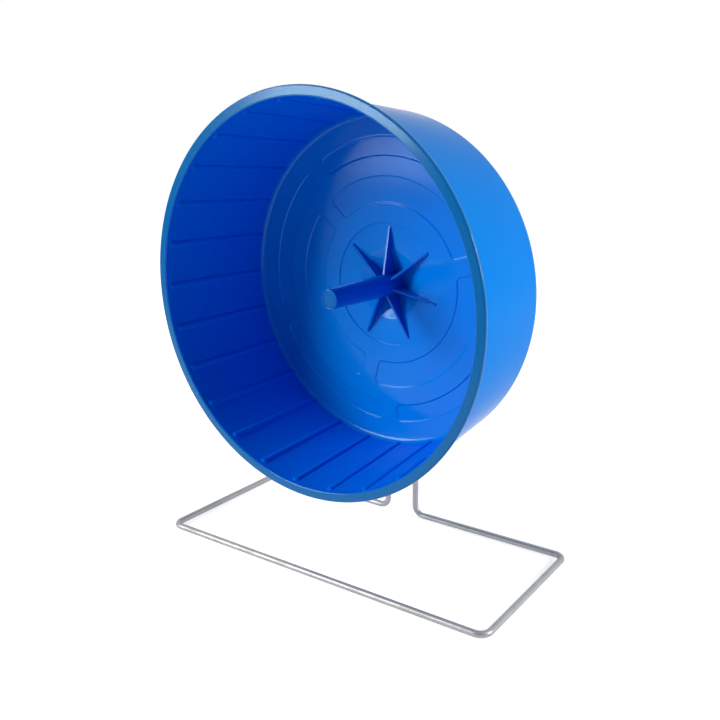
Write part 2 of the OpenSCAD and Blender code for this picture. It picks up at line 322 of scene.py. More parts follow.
@dataclass(frozen=True)
class PlatedMetal:
    """Plated or turned steel with drawn or turned lines, tiny pits and an uneven sheen."""

    name: str
    colour: Colour
    dull_colour: Colour
    roughness: float
    metallic: float = 1.0
    clouds: Noise = Noise(60.0, 4.0, 0.6)
    cloud_tone: Span = Span(0.35, 0.7, 0.0, 0.7)
    lines: Noise = Noise(1.0, 3.0)
    line_scale: Point = (120.0, 120.0, 120.0)
    line_gloss: Span = Span(0.3, 0.7, -0.05, 0.08)
    line_depth: float = 0.0001
    pitting: Noise = Noise(1500.0, 2.0, 0.6)
    pit_tone: Span = Span(0.55, 0.7, 0.0, 0.5)
    pit_depth: float = 0.00005
    pits: float = 0.08

    def material(self) -> Material:
        """Builds the material.

        Returns:
            The finished material.
        """
        shader = Shader(self.name)
        clouds = shader.noise(self.clouds)
        lines = shader.noise(self.lines, shader.mapped(NOWHERE, self.line_scale))
        pits = shader.noise(self.pitting)
        dull = shader.maths("ADD", shader.ranged(clouds, self.cloud_tone), shader.ranged(pits, self.pit_tone))
        shader.give("Base Color", shader.mixed(dull, self.colour, self.dull_colour))
        shader.give("Roughness", shader.maths("ADD", shader.ranged(lines, self.line_gloss), self.roughness))
        shader.give("Metallic", self.metallic)
        shader.bumped(lines, self.pits, self.line_depth)
        shader.bumped(pits, self.pits, self.pit_depth)
        return shader.material


class Finishes:
    """The materials of the whole part, made once each. The lip, the hub and the inside of the running wall
    take darker blues than the disc, as painted shade.
    """

    blue: Colour = (0.0, 0.235, 0.80)
    deep_blue: Colour = (0.0, 0.222, 0.77)
    # painted shade: a deeper blue for the inside of the running wall and the lip's collar
    shaded_inside_blue: Colour = (0.0, 0.172, 0.84)
    # moves the lip's line between its own blue and the painted-shade inside blue 0.8 mm towards the axle
    lip_shift: float = 0.0008

    def __init__(self, centre: Point, wall: tuple[float, float]) -> None:
        """Builds every material.

        Args:
            centre: The axle's point in the mouth's plane.
            wall: Radius of the running wall's middle at the mouth, and the radius it loses for
                each metre of depth.
        """
        # painted shade: the lip takes a darker blue than the rest of the one-piece drum, and its collar the
        # shaded inside blue
        self.lip = MouldedPlastic(
            "shaded_lip_blue", (0.0, 0.15, 0.46), (0.0, 0.14, 0.43), centre, roughness=0.16, specular=0.3,
            inside=self.shaded_inside_blue, wall=(wall[0] - self.lip_shift, wall[1]),
        ).material()
        # painted shade: the tread's inside takes the shaded inside blue, its outside the plain blue
        self.tread = MouldedPlastic(
            "tread_blue", self.blue, self.deep_blue, centre, roughness=0.17, specular=0.012,
            inside=self.shaded_inside_blue, wall=wall,
        ).material()
        self.disc = MouldedPlastic("disc_blue", self.blue, self.deep_blue, centre).material()
        # painted shade: the hub tube and its gussets take a darker blue than the disc they are moulded with
        self.hub = MouldedPlastic("shaded_hub_blue", (0.0, 0.14, 0.62), (0.0, 0.13, 0.59), centre).material()
        # the cap's deeper blue is partly painted shade of its recess in the tube's tip and partly the tone of
        # the emblem, which is left out
        self.cap = MouldedPlastic(
            "cap_blue", (0.0, 0.14, 0.50), (0.0, 0.13, 0.47), centre, roughness=0.24
        ).material()
        self.wire = PlatedMetal(
            "satin_zinc", (0.44, 0.44, 0.445), (0.34, 0.34, 0.345), roughness=0.38, metallic=0.5
        ).material()
        self.steel = PlatedMetal(
            "turned_steel", (0.66, 0.66, 0.66), (0.52, 0.52, 0.53), roughness=0.24,
            line_scale=(30.0, 2600.0, 30.0),
        ).material()
        self.weld = PlatedMetal(
            "weld_metal", (0.50, 0.50, 0.50), (0.30, 0.29, 0.28), roughness=0.46, pits=0.5
        ).material()
        self.nylon = MouldedPlastic(
            "white_nylon", (0.82, 0.81, 0.78), (0.74, 0.73, 0.70), centre, roughness=0.42, specular=0.36,
            sheen_tint=WHITE, subsurface=0.2, grain=0.05,
        ).material()


@dataclass(frozen=True)
class Corner:
    """One point of a turned profile, in millimetres.

    radius is measured from the axle, depth from the drum's mouth, and round is the radius that
    the corner is rounded to.
    """

    radius: float
    depth: float
    round: float = 0.0


@dataclass(frozen=True)
class WheelSpace:
    """Where the drum is: the axle's place and the mouth's plane, in metres."""

    axle_x: float = -4.5 * MM
    axle_z: float = 201.5 * MM
    mouth_y: float = -59.7541 * MM

    @property
    def centre(self) -> Point:
        """The axle's point in the mouth's plane."""
        return (self.axle_x, self.mouth_y, self.axle_z)

    def at(self, radius: float, depth: float, clock: float = 0.0) -> Vector:
        """Gives a point of the drum.

        Args:
            radius: Distance from the axle in millimetres.
            depth: Distance behind the mouth in millimetres.
            clock: Angle clockwise from the top, seen from the front, in radians.

        Returns:
            The point in metres.
        """
        return Vector((
            self.axle_x + radius * MM * math.sin(clock),
            self.mouth_y + depth * MM,
            self.axle_z + radius * MM * math.cos(clock),
        ))

    def turned_by(self, clock: float) -> Matrix:
        """Gives the matrix that turns a piece about the axle, clockwise from the front."""
        centre = Vector(self.centre)
        return Matrix.Translation(centre) @ Matrix.Rotation(clock, 4, "Y") @ Matrix.Translation(-centre)

    def radius_depth(self, point: Vector) -> tuple[float, float]:
        """Gives a point's radius and depth in millimetres."""
        radius = math.hypot(point.x - self.axle_x, point.z - self.axle_z)
        return radius / MM, (point.y - self.mouth_y) / MM


def placed(name: str, data: bpy.types.ID) -> bpy.types.Object:
    """Puts an object with the given data into the scene.

    Args:
        name: The object's name.
        data: Its mesh, light or camera.

    Returns:
        The object.
    """
    made = bpy.data.objects.new(name, data)
    bpy.context.scene.collection.objects.link(made)
    return made


def as_mesh(bm: Mesh, name: str) -> bpy.types.Mesh:
    """Turns a bmesh into a mesh of its own and frees it.

    Args:
        bm: The bmesh.
        name: The mesh's name.

    Returns:
        The mesh.
    """
    mesh = bpy.data.meshes.new(name)
    bm.to_mesh(mesh)
    bm.free()
    return mesh


def finished(bm: Mesh, name: str, body: Body, material: Material, nodes: Sequence[str]) -> None:
    """Turns a bmesh into a finished piece that rides on its body.

    Args:
        bm: The mesh, in metres in the frame.
        name: The piece's name.
        body: The body it rides on.
        material: Its material.
        nodes: The solids that it stands for.
    """
    bmesh.ops.remove_doubles(bm, verts=bm.verts, dist=MERGE)
    bmesh.ops.recalc_face_normals(bm, faces=bm.faces)
    mesh = as_mesh(bm, name)
    mesh.materials.append(material)
    mesh.polygons.foreach_set("use_smooth", [True] * len(mesh.polygons))
    mesh.set_sharp_from_angle(angle=math.radians(SHARP_FROM))
    piece = placed(name, mesh)
    normals = piece.modifiers.new("normals", "WEIGHTED_NORMAL")
    normals.mode = "FACE_AREA"
    normals.keep_sharp = True
    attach(piece, body.value)
    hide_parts(*nodes)
    LOG.info("%s: %d faces on %s", name, len(mesh.polygons), body.value)


def dressed(node: str, material: Material) -> None:
    """Gives a solid that is shown as it is its material.

    Args:
        node: The solid's name.
        material: Its material.
    """
    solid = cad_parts[node]
    if solid.material_slots:
        for held in solid.material_slots:
            held.material = material
    else:
        solid.data.materials.append(material)
    LOG.info("%s: the solid, with %s", node, material.name)


def close_ends(bm: Mesh) -> None:
    """Fills every open ring of edges with a face."""
    bmesh.ops.holes_fill(bm, edges=[e for e in bm.edges if e.is_boundary], sides=0)


def everything(bm: Mesh) -> list[Vert | Edge | bmesh.types.BMFace]:
    """Gives a mesh's points, edges and faces in one list."""
    return bm.verts[:] + bm.edges[:] + bm.faces[:]


def drawn_out(made: dict[str, list[Vert | Edge]], kind: type) -> list[Vert] | list[Edge]:
    """Gives the new points or the new edges that an extrusion made."""
    return [g for g in made["geom"] if isinstance(g, kind)]


def rounded(bm: Mesh, edges: Sequence[Edge], offset: float, segments: int, clamp: bool) -> None:
    """Rounds edges.

    Args:
        bm: The mesh.
        edges: The edges.
        offset: Width of the rounding on each side, in metres.
        segments: Faces across the rounding.
        clamp: True if the rounding stops before it meets another.
    """
    bmesh.ops.bevel(
        bm, geom=edges, offset=offset, offset_type="OFFSET", segments=segments, profile=0.5,
        affect="EDGES", material=-1, clamp_overlap=clamp,
    )


def turned(
    space: WheelSpace, profile: Sequence[Corner], steps: int = 240, closed: bool = True
) -> Mesh:
    """Turns a profile about the axle and rounds its corners.

    Args:
        space: Where the drum is.
        profile: The section's corners in order.
        steps: Steps of the full turn.
        closed: True if the last corner joins the first. A profile that starts and ends on the
            axle stays open.

    Returns:
        The turned mesh.
    """
    bm = bmesh.new()
    verts = [bm.verts.new(space.at(c.radius, c.depth)) for c in profile]
    pairs = list(zip(verts, verts[1:])) + ([(verts[-1], verts[0])] if closed else [])
    edges = [bm.edges.new(pair) for pair in pairs]
    bmesh.ops.spin(
        bm, geom=verts + edges, cent=space.centre, axis=BACK, dvec=NOWHERE,
        angle=TURN, steps=steps, use_merge=True, use_normal_flip=False, use_duplicate=False,
    )
    bmesh.ops.remove_doubles(bm, verts=bm.verts, dist=MERGE)
    count = len(profile)
    for i, corner in enumerate(profile):
        if corner.round <= 0.0:
            continue
        before, after = profile[i - 1], profile[(i + 1) % count]
        first = Vector((corner.radius - before.radius, corner.depth - before.depth))
        second = Vector((after.radius - corner.radius, after.depth - corner.depth))
        turn = first.angle(second)
        here = (corner.radius, corner.depth)
        ring = [e for e in bm.edges if all(math.dist(space.radius_depth(v.co), here) < NEAR for v in e.verts)]
        segments = max(ROUND_STEPS[0], min(ROUND_STEPS[1], round(turn / math.radians(ROUND_STEP))))
        rounded(bm, ring, corner.round * MM * math.tan(turn / 2.0), segments, clamp=False)
    return bm


@dataclass(frozen=True)
class Slope:
    """A sloping line of a section, by its angle in degrees."""

    angle: float

    @property
    def fall(self) -> float:
        """What is lost for each millimetre along."""
        return math.tan(math.radians(self.angle))

    def skin(self, thickness: float) -> float:
        """Gives a skin's thickness measured upright instead of square to the slope."""
        return thickness / math.cos(math.radians(self.angle))


@dataclass(frozen=True)
class DrumSizes:
    """Sizes of the drum in millimetres and degrees, as in the solids."""

    rim_r: float = 140.8
    lip_w: float = 7.0
    lip_t: float = 3.0
    lip_edge_r: float = 1.4
    lip_inner_r: float = 1.2
    lip_collar: float = 6.0
    wall_t: float = 2.2
    taper: Slope = Slope(4.5)
    disc_depth: float = 105.4
    cone: Slope = Slope(2.6)
    edge_r: float = 111.0
    edge: Slope = Slope(8.0)
    corner_r: float = 4.0
    rib_count: int = 26
    rib_h: float = 1.3
    rib_w: float = 5.2
    rib_front: float = 6.0
    head_rise: float = 0.25
    dish_r: float = 47.4
    dish_mid_r: float = 27.0
    dish_step: float = 0.8
    dish_mid_drop: float = 1.6
    dish_foot_drop: float = 7.5
    panel_corner_r: float = 4.0
    panel_gap: float = 14.0
    hub_tip: float = 29.8
    hub_tip_r: float = 7.2
    hub_root_r: float = 8.8
    seat_gap: float = 0.08

    @property
    def mouth_r(self) -> float:
        """Radius of the running surface's line in the mouth's plane."""
        return self.rim_r - self.lip_w

    @property
    def wall_skin(self) -> float:
        """Thickness of the running wall measured along a radius."""
        return self.taper.skin(self.wall_t)

    def wall_at(self, depth: float) -> float:
        """Radius of the running surface at a depth."""
        return self.mouth_r - depth * self.taper.fall

    def disc_at(self, radius: float) -> float:
        """Depth of the disc's front face at a radius."""
        return self.disc_depth - radius * self.cone.fall

    @property
    def edge_depth(self) -> float:
        """Depth at which the outer ring's slope would meet the axis."""
        return self.disc_at(self.edge_r) + self.edge_r * self.edge.fall

    def meeting(self, skin: float) -> tuple[float, float]:
        """Gives radius and depth where the wall's line meets the outer ring's line.

        Args:
            skin: Distance by which both lines are moved outwards.

        Returns:
            The radius and the depth of the meeting point.
        """
        taper, edge = self.taper, self.edge
        radius = (self.mouth_r + taper.skin(skin) - taper.fall * (self.edge_depth + edge.skin(skin))) / (
            1.0 - taper.fall * edge.fall
        )
        return radius, self.edge_depth - radius * edge.fall + edge.skin(skin)

    def edge_start(self, skin: float) -> tuple[float, float]:
        """Gives radius and depth where the outer ring starts.

        Args:
            skin: Distance by which both lines are moved backwards.

        Returns:
            The radius and the depth of the ring's inner edge.
        """
        steeper = self.edge.skin(1.0) - self.cone.skin(1.0)
        radius = self.edge_r + skin * steeper / (self.edge.fall - self.cone.fall)
        return radius, self.disc_at(radius) + self.cone.skin(skin)

    @property
    def wall_end(self) -> float:
        """Depth at which the running wall meets the corner."""
        return self.meeting(-self.corner_r)[1] + self.corner_r * math.sin(math.radians(self.taper.angle))

    @property
    def rib_round(self) -> float:
        """Radius of a rib's round back."""
        return (self.rib_w ** 2 / 4.0 + self.rib_h ** 2) / (2.0 * self.rib_h)

    @property
    def dish_edge(self) -> float:
        """Depth of the dish at its edge."""
        return self.disc_at(self.dish_r) + self.dish_step

    def dish_at(self, radius: float) -> float:
        """Gives the depth of the dish's front face.

        Args:
            radius: The place's radius.

        Returns:
            The depth there.
        """
        if radius > self.dish_mid_r:
            share = (self.dish_r - radius) / (self.dish_r - self.dish_mid_r)
            return self.dish_edge + share * self.dish_mid_drop
        share = (self.dish_mid_r - radius) / (self.dish_mid_r - self.hub_root_r)
        return self.dish_edge + self.dish_mid_drop + share * (self.dish_foot_drop - self.dish_mid_drop)

    @property
    def dish_foot(self) -> float:
        """Depth of the dish at the hub."""
        return self.dish_edge + self.dish_foot_drop

    def tube_at(self, depth: float) -> float:
        """Outer radius of the hub tube at a depth."""
        share = (depth - self.hub_tip) / (self.dish_foot - self.hub_tip)
        return self.hub_tip_r + share * (self.hub_root_r - self.hub_tip_r)


@dataclass(frozen=True)
class PanelBand:
    """One ring of sunk panels in the disc."""

    inner_r: float
    outer_r: float
    count: int
    first_gap: float


@dataclass
class DrumPart:
    """What the drum and its hub share: their place, sizes and finishes."""

    space: WheelSpace
    sizes: DrumSizes
    finishes: Finishes

    @staticmethod
    def piece(node: str, material: Material, bm: Mesh) -> None:
        """Finishes one mesh of the drum as the piece that stands for a solid."""
        finished(bm, node + "_moulded", Body.WHEEL, material, (node,))

    def repeat(self, bm: Mesh, count: int, first: float) -> None:
        """Turns a mesh to its first place and repeats it round the axle.

        Args:
            bm: The mesh.
            count: How many there are in the full turn.
            first: Angle of the first one in radians.
        """
        bmesh.ops.transform(bm, matrix=self.space.turned_by(first), verts=bm.verts)
        bmesh.ops.spin(
            bm, geom=everything(bm), cent=self.space.centre, axis=BACK, dvec=NOWHERE,
            angle=TURN - TURN / count, steps=count - 1, use_merge=False, use_normal_flip=False,
            use_duplicate=True,
        )


@dataclass
class RunningDrum(DrumPart):
    """Lip, running wall, cross ribs and disc of the drum. Sizes in millimetres."""

    bands: tuple[PanelBand, ...] = (PanelBand(62.0, 81.5, 3, 74.0), PanelBand(96.2, 109.4, 5, 34.4))
    collar_fillet: float = 1.2
    fillet_slack: float = 0.3
    lip_slack: float = 0.1
    ring_round: float = 12.0
    step_round: float = 0.25
    dish_round: float = 6.0
    dish_back_round: float = 8.0
    step_back_round: float = 4.0
    lap_round: float = 0.4
    wall_rows: int = 6
    rib_segments: int = 64
    head_steps: int = 24
    corner_steps: int = 8
    panel_step: float = 2.5
    panel_levels: tuple[tuple[float, float], ...] = (
        (-1.0, 0.95), (-0.05, 0.95), (0.03, 0.62), (0.10, 0.40), (0.20, 0.23), (0.32, 0.10),
        (0.44, -0.01), (0.55, -0.13), (0.64, -0.29), (0.69, -0.52), (0.70, -0.80),
    )

    def build(self) -> None:
        """Builds the drum's pieces."""
        self._lip()
        self._wall()
        self._ribs()
        self._disc()

    def _lip(self) -> None:
        """Turns the lip with its collar."""
        s = self.sizes
        end_r = s.wall_at(s.lip_collar)
        inner = s.wall_at(s.lip_inner_r)
        collar_r = s.wall_at(s.lip_t) + s.wall_skin
        self.piece("rim_lip", self.finishes.lip, turned(self.space, (
            Corner(end_r, s.lip_collar),
            Corner(inner, 0.0, s.lip_inner_r - self.lip_slack),
            Corner(s.rim_r, 0.0, s.lip_edge_r),
            Corner(s.rim_r, s.lip_t, s.lip_edge_r),
            Corner(collar_r, s.lip_t, self.collar_fillet),
            Corner(end_r + s.wall_skin, s.lip_collar),
        )))

    def _wall(self) -> None:
        """Turns the running wall between the lip's collar and the disc's corner."""
        s = self.sizes
        start, end = s.lip_collar, s.wall_end
        depths = [start + (end - start) * i / self.wall_rows for i in range(self.wall_rows + 1)]
        inside = [Corner(s.wall_at(d), d) for d in depths]
        outside = [Corner(s.wall_at(d) + s.wall_skin, d) for d in reversed(depths)]
        self.piece("tread_wall", self.finishes.tread, turned(self.space, inside + outside))

    def _ribs(self) -> None:
        """Draws out one rib with its round head, cuts it at the wall and repeats it round the drum."""
        s = self.sizes
        bm = bmesh.new()
        start = Vector((0.0, s.wall_at(s.rib_front) - s.seat_gap, s.rib_front))
        end = Vector((0.0, s.wall_at(s.wall_end) - s.seat_gap, s.wall_end))
        length = (end - start).length
        made = bmesh.ops.create_circle(bm, cap_ends=False, segments=self.rib_segments, radius=s.rib_round)
        bmesh.ops.translate(bm, verts=made["verts"], vec=(0.0, 0.0, length))
        head_r = s.rib_round + s.head_rise
        first = math.asin(s.rib_round / head_r)
        ring = self._drawn(bm, bm.edges[:], s.rib_round, head_r * math.cos(first))
        for i in range(1, self.head_steps):
            angle = first + (math.pi - first) * i / self.head_steps
            ring = self._drawn(bm, ring, head_r * math.sin(angle), head_r * math.cos(angle))
        close_ends(bm)
        bmesh.ops.translate(bm, verts=bm.verts, vec=(0.0, s.rib_round - s.rib_h + s.seat_gap, 0.0))
        bmesh.ops.bisect_plane(bm, geom=everything(bm), plane_co=NOWHERE, plane_no=BACK, clear_outer=True)
        close_ends(bm)
        bmesh.ops.recalc_face_normals(bm, faces=bm.faces)
        lean = (end - start).normalized()
        across = Vector((1.0, 0.0, 0.0))
        out = lean.cross(across)
        place = Matrix((
            (across.x, out.x, lean.x, 0.0),
            (across.z, out.z, lean.z, start.z),
            (across.y, out.y, lean.y, start.y),
            (0.0, 0.0, 0.0, 1.0),
        ))
        to_frame = Matrix.Translation(Vector(self.space.centre)) @ Matrix.Diagonal((MM, MM, MM, 1.0)) @ place
        bmesh.ops.transform(bm, matrix=to_frame, verts=bm.verts)
        self.repeat(bm, s.rib_count, TURN / s.rib_count / 2.0)
        self.piece("tread_ribs", self.finishes.tread, bm)

    @staticmethod
    def _drawn(bm: Mesh, ring: Sequence[Edge], radius: float, along: float) -> list[Edge]:
        """Draws a round ring of edges out to a new ring about the same axis.

        Args:
            bm: The mesh.
            ring: The open ring's edges.
            radius: The new ring's radius.
            along: The new ring's place along the rib.

        Returns:
            The new ring's edges.
        """
        made = bmesh.ops.extrude_edge_only(bm, edges=ring)
        verts = drawn_out(made, Vert)
        share = radius / math.hypot(verts[0].co.x, verts[0].co.y)
        bmesh.ops.scale(bm, verts=verts, vec=(share, share, 1.0))
        bmesh.ops.translate(bm, verts=verts, vec=(0.0, 0.0, along - verts[0].co.z))
        return drawn_out(made, Edge)

    def _disc(self) -> None:
        """Turns the corner, the disc and its dish, and sinks the panels."""
        s = self.sizes
        lap = s.dish_r + s.wall_t
        hole = s.hub_root_r + s.seat_gap
        plain = turned(self.space, (
            Corner(s.wall_at(s.wall_end), s.wall_end),
            Corner(*s.meeting(0.0), s.corner_r - self.fillet_slack),
            Corner(*s.edge_start(0.0), self.ring_round),
            Corner(s.dish_r, s.disc_at(s.dish_r), self.step_round),
            Corner(s.dish_r, s.dish_edge, self.step_round),
            Corner(s.dish_mid_r, s.dish_at(s.dish_mid_r), self.dish_round),
            Corner(hole, s.dish_at(hole)),
            Corner(hole, s.dish_at(hole) + s.wall_t),
            Corner(s.dish_mid_r, s.dish_at(s.dish_mid_r) + s.wall_t, self.dish_back_round),
            Corner(s.dish_r, s.dish_edge + s.wall_t, self.step_back_round),
            Corner(lap, s.disc_at(lap) + s.cone.skin(s.wall_t), self.lap_round),
            Corner(*s.edge_start(s.wall_t), self.ring_round),
            Corner(*s.meeting(s.wall_t), s.corner_r + s.wall_t - self.fillet_slack),
            Corner(s.wall_at(s.wall_end) + s.wall_skin, s.wall_end),
        ))
        self.piece("back_disc", self.finishes.disc, self._with_panels(plain))

    def _with_panels(self, disc: Mesh) -> Mesh:
        """Cuts the sunk panels out of the disc, with soft rims.

        Args:
            disc: The plain disc's mesh, which is used up.

        Returns:
            The disc's mesh with its panels.
        """
        block = bmesh.new()
        for band in self.bands:
            for i in range(band.count):
                self._panel(block, band, math.radians(band.first_gap) + i * TURN / band.count)
        objects = []
        for name, bm in (("plain_disc", disc), ("panel_block", block)):
            bmesh.ops.recalc_face_normals(bm, faces=bm.faces)
            objects.append(placed(name, as_mesh(bm, name)))
        cut = objects[0].modifiers.new("panels", "BOOLEAN")
        cut.operation = "DIFFERENCE"
        cut.solver = "EXACT"
        cut.object = objects[1]
        settled = bpy.context.evaluated_depsgraph_get()
        held = bpy.data.meshes.new_from_object(objects[0].evaluated_get(settled))
        result = bmesh.new()
        result.from_mesh(held)
        for mesh in [o.data for o in objects] + [held]:
            bpy.data.meshes.remove(mesh)
        return result

    def _panel(self, block: Mesh, band: PanelBand, gap_clock: float) -> None:
        """Adds the block that cuts out the panel behind a gap.

        Each level of the block is the panel's outline, widened by that level's amount, so that
        the panel's rim and floor come out rounded.

        Args:
            block: The mesh that takes the block.
            band: The panel's ring.
            gap_clock: Angle of the gap before the panel, in radians.
        """
        rings = [
            [
                block.verts.new(self.space.at(radius, self.sizes.disc_at(radius) + level, clock))
                for radius, clock in self._outline(band, gap_clock, wider)
            ]
            for level, wider in self.panel_levels
        ]
        for low, high in zip(rings, rings[1:]):
            for i in range(len(low)):
                block.faces.new((low[i - 1], low[i], high[i], high[i - 1]))
        for ring in (rings[0], rings[-1]):
            edges = [block.edges.get((ring[i - 1], ring[i])) for i in range(len(ring))]
            bmesh.ops.triangle_fill(block, edges=edges, use_beauty=True, use_dissolve=False)

    def _outline(self, band: PanelBand, gap_clock: float, wider: float) -> list[tuple[float, float]]:
        """Gives a panel's outline as radii and angles from the axle, in order.

        Args:
            band: The panel's ring.
            gap_clock: Angle of the gap before the panel, in radians.
            wider: Distance by which the outline is moved outwards.

        Returns:
            The outline's points.
        """
        s = self.sizes
        side = s.panel_gap / 2.0 + s.panel_corner_r
        half: list[tuple[float, float]] = []
        middles = (band.inner_r + s.panel_corner_r, band.outer_r - s.panel_corner_r)
        for middle, outwards in zip(middles, (False, True)):
            along = math.sqrt(middle ** 2 - side ** 2)
            lean = math.asin(side / middle)
            first, last = (-math.pi / 2.0, lean) if outwards else (lean - math.pi, -math.pi / 2.0)
            for i in range(self.corner_steps + 1):
                angle = first + (last - first) * i / self.corner_steps
                reach = s.panel_corner_r + wider
                up, across = along + reach * math.cos(angle), side + reach * math.sin(angle)
                half.append((math.hypot(up, across), math.atan2(across, up)))
        pitch = TURN / band.count
        steps = round(pitch * band.outer_r / self.panel_step)
        mirrored = [(radius, pitch - clock) for radius, clock in reversed(half)]
        points = half + self._arc(half[-1], mirrored[0], steps)
        points += mirrored + self._arc(mirrored[-1], half[0], steps)
        return [(radius, gap_clock + clock) for radius, clock in points]

    @staticmethod
    def _arc(start: tuple[float, float], end: tuple[float, float], steps: int) -> list[tuple[float, float]]:
        """Gives the points between two points of one radius."""
        return [(start[0], start[1] + (end[1] - start[1]) * i / steps) for i in range(1, steps)]


@dataclass
class Hub(DrumPart):
    """Hub tube, its gussets and the cap in its tip. Sizes in millimetres and degrees."""

    tube_steps: int = 96
    tip_round: float = 0.5
    recess_round: float = 0.3
    boss_foot_round: float = 0.3
    boss_round: float = 0.8
    bore_round: float = 0.4
    boss_r: float = 11.5
    boss_len: float = 3.2
    bore_r: float = 3.08
    bore_relief: float = 0.7
    land_len: float = 12.0
    recess_r: float = 6.0
    recess_depth: float = 9.0
    gusset_count: int = 7
    gusset_angle: float = 1.5
    gusset_t: float = 2.0
    gusset_reach: float = 44.3
    gusset_h: float = 15.0
    gusset_tip_h: float = 0.9
    gusset_soft: float = 0.4
    gusset_soft_faces: int = 3
    cap_steps: int = 64
    cap_inset: float = 0.3
    cap_t: float = 1.4
    cap_skirt: float = 1.2
    cap_wall: float = 1.0
    cap_groove_r: float = 4.6
    cap_groove: float = 0.25
    cap_groove_half: float = 0.3
    cap_floor_half: float = 0.1
    cap_groove_round: float = 0.08
    cap_floor_round: float = 0.05
    cap_round: float = 0.3
    cap_skirt_round: float = 0.1

    def build(self) -> None:
        """Builds the hub's pieces."""
        self._tube()
        self._gussets()
        self._cap()

    def _tube(self) -> None:
        """Turns the tube with its bore, recess and rear boss."""
        s = self.sizes
        front = s.dish_foot + s.wall_t + s.seat_gap
        back = front + self.boss_len
        shoulder = s.hub_tip + self.recess_depth
        wide = self.bore_r + self.bore_relief
        self.piece("hub_tube", self.finishes.hub, turned(self.space, (
            Corner(self.recess_r, s.hub_tip, self.recess_round),
            Corner(s.hub_tip_r, s.hub_tip, self.tip_round),
            Corner(s.hub_root_r, s.dish_foot),
            Corner(s.hub_root_r, front),
            Corner(self.boss_r, front, self.boss_foot_round),
            Corner(self.boss_r, back, self.boss_round),
            Corner(self.bore_r, back, self.bore_round),
            Corner(self.bore_r, back - self.land_len),
            Corner(wide, back - self.land_len - self.bore_relief),
            Corner(wide, shoulder + self.land_len + self.bore_relief),
            Corner(self.bore_r, shoulder + self.land_len),
            Corner(self.bore_r, shoulder),
            Corner(self.recess_r, shoulder),
        ), steps=self.tube_steps))

    def _gussets(self) -> None:
        """Cuts one gusset out of plate, softens its edges and repeats it round the tube."""
        s = self.sizes
        top = s.dish_foot - self.gusset_h
        foot = s.hub_root_r + s.seat_gap
        outline = (
            (s.tube_at(top) + s.seat_gap, top),
            (self.gusset_reach, s.dish_at(self.gusset_reach) - self.gusset_tip_h),
            (self.gusset_reach, s.dish_at(self.gusset_reach) - s.seat_gap),
            (s.dish_mid_r, s.dish_at(s.dish_mid_r) - s.seat_gap),
            (foot, s.dish_at(foot) - s.seat_gap),
        )
        bm = bmesh.new()
        plate = bm.faces.new([bm.verts.new(self.space.at(r, d)) for r, d in outline])
        bmesh.ops.translate(bm, verts=plate.verts[:], vec=(-self.gusset_t / 2.0 * MM, 0.0, 0.0))
        side = drawn_out(bmesh.ops.extrude_face_region(bm, geom=[plate]), Vert)
        bmesh.ops.translate(bm, verts=side, vec=(self.gusset_t * MM, 0.0, 0.0))
        bmesh.ops.recalc_face_normals(bm, faces=bm.faces)
        crest = [self.space.at(r, d) for r, d in outline[:2]]
        edges = [e for e in bm.edges if self._on_crest(e, crest)]
        rounded(bm, edges, self.gusset_soft * MM, self.gusset_soft_faces, clamp=True)
        self.repeat(bm, self.gusset_count, math.radians(self.gusset_angle))
        self.piece("hub_gussets", self.finishes.hub, bm)

    @staticmethod
    def _on_crest(edge: Edge, crest: Sequence[Vector]) -> bool:
        """Tells whether an edge runs along the gusset's sloping crest.

        Args:
            edge: The edge.
            crest: The crest's two ends.

        Returns:
            True for the crest's edges.
        """
        sides = [(v.co.y, v.co.z) for v in edge.verts]
        wanted = [(p.y, p.z) for p in crest]
        return all(any(math.dist(a, b) < NEAR * MM for a in sides) for b in wanted)

    def _cap(self) -> None:
        """Turns the cap: a bare face with a fine groove, and a skirt behind it."""
        s = self.sizes
        outer = self.recess_r - s.seat_gap
        face = s.hub_tip + self.cap_inset
        back = face + self.cap_t
        self.piece("hub_end_cap", self.finishes.cap, turned(self.space, (
            Corner(0.0, face),
            Corner(self.cap_groove_r - self.cap_groove_half, face, self.cap_groove_round),
            Corner(self.cap_groove_r - self.cap_floor_half, face + self.cap_groove, self.cap_floor_round),
            Corner(self.cap_groove_r + self.cap_floor_half, face + self.cap_groove, self.cap_floor_round),
            Corner(self.cap_groove_r + self.cap_groove_half, face, self.cap_groove_round),
            Corner(outer, face, self.cap_round),
            Corner(outer, back + self.cap_skirt, self.cap_skirt_round),
            Corner(outer - self.cap_wall, back + self.cap_skirt, self.cap_skirt_round),
            Corner(outer - self.cap_wall, back),
            Corner(0.0, back),
        ), steps=self.cap_steps, closed=False))


@dataclass
class AxleFittings:
    """Axle rod, washer, push-on ring, spacer and weld, all shown as the solids themselves."""

    finishes: Finishes

    def build(self) -> None:
        """Dresses the fittings."""
        for node in ("axle_rod", "front_washer", "push_on_ring"):
            dressed(node, self.finishes.steel)
        dressed("rear_spacer", self.finishes.nylon)
        dressed("axle_weld", self.finishes.weld)


